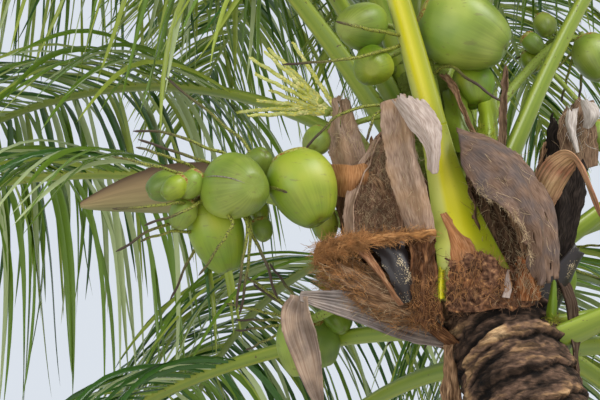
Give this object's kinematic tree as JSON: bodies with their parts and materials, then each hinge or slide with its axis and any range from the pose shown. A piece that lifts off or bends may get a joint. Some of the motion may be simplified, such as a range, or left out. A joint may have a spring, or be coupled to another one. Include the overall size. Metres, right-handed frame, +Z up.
{
  "type": "coconut palm tree",
  "caption": "Coconut palm with a leaning ringed trunk, arching feather fronds, torn fibre leaf sheaths, dry husks and bunches of green nuts.",
  "frame": {"origin": "middle of the flat cut under the trunk, at ground level", "axes": "+Z up. The trunk leans towards -X. The low fronds were cleared on the side towards -Y, where the nuts show."},
  "size_m": [7.9366, 7.2956, 6.5377],
  "materials": {
    "bark": "rough, with ring scars",
    "leaf_green": "waxy leaf",
    "nut_green": "smooth, slightly glossy rind",
    "flower_cream": "matt",
    "fibre": "coarse dry weave",
    "dry_husk": "dry and papery"
  },
  "bodies": {
    "root": {"trunk": "bark", "bunch_axil": "nut_green", "bunch_back": "nut_green", "bunch_low": "nut_green", "bunch_main": "nut_green", "bunch_right": "nut_green", "bunch_side": "nut_green", "flowers_young": "flower_cream", "frond_01": "leaf_green", "frond_02": "leaf_green", "frond_03": "leaf_green", "frond_04": "leaf_green", "frond_05": "leaf_green", "frond_06": "leaf_green", "frond_07": "leaf_green", "frond_08": "leaf_green", "frond_09": "leaf_green", "frond_10": "leaf_green", "frond_11": "leaf_green", "frond_12": "leaf_green", "frond_13": "leaf_green", "frond_14": "leaf_green", "frond_15": "leaf_green", "frond_16": "leaf_green", "frond_17": "leaf_green", "frond_18": "leaf_green", "frond_19": "leaf_green", "frond_20": "leaf_green", "frond_21": "leaf_green", "frond_22": "leaf_green", "frond_23": "leaf_green", "frond_24": "leaf_green", "frond_25": "leaf_green", "frond_26": "leaf_green", "frond_27": "leaf_green", "husk_hanging": "dry_husk", "husk_low": "dry_husk", "husk_right": "dry_husk", "husk_trailing": "dry_husk", "old_base_1": "dry_husk", "old_base_2": "dry_husk", "sheath_1": "fibre", "sheath_2": "fibre", "sheath_3": "fibre", "sheath_4": "fibre", "sheath_5": "fibre", "sheath_6": "fibre", "sheath_7": "fibre", "sheath_8": "fibre", "sheath_9": "fibre", "spathe_main": "dry_husk", "spear": "leaf_green"}
  },
  "joints": []
}
